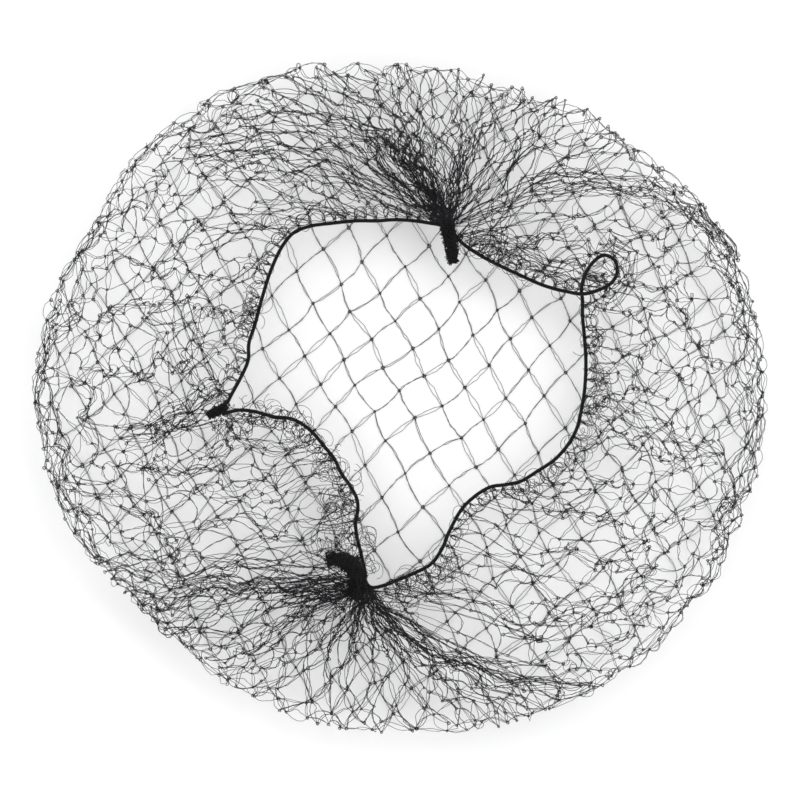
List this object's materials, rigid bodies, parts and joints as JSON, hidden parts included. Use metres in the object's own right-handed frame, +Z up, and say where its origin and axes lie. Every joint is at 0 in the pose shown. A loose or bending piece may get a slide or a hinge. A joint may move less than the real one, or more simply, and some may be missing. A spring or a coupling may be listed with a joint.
{
  "type": "hairnet",
  "caption": "Knotted diamond-mesh hairnet bag lying mouth up, its edge gathered on a thin elastic cord and into two bound tufts.",
  "frame": {"origin": "on the table under the middle of the net's outline, at the bottom of the bag's flat middle", "axes": "+Z up out of the mouth, +Y towards the brow tuft at the picture's top, +X to the picture's right"},
  "size_m": [0.2087, 0.1927, 0.0291],
  "materials": {
    "net": "fine twisted nylon filament, slightly glossy",
    "elastic": "thread wrapped round a rubber core, matt",
    "binding": "tightly wound bristly thread, matt"
  },
  "bodies": {
    "root": {"net_bag": "net", "elastic_cord": "elastic", "brow_tuft": "binding", "nape_tuft": "binding", "side_knot": "binding"}
  },
  "joints": []
}
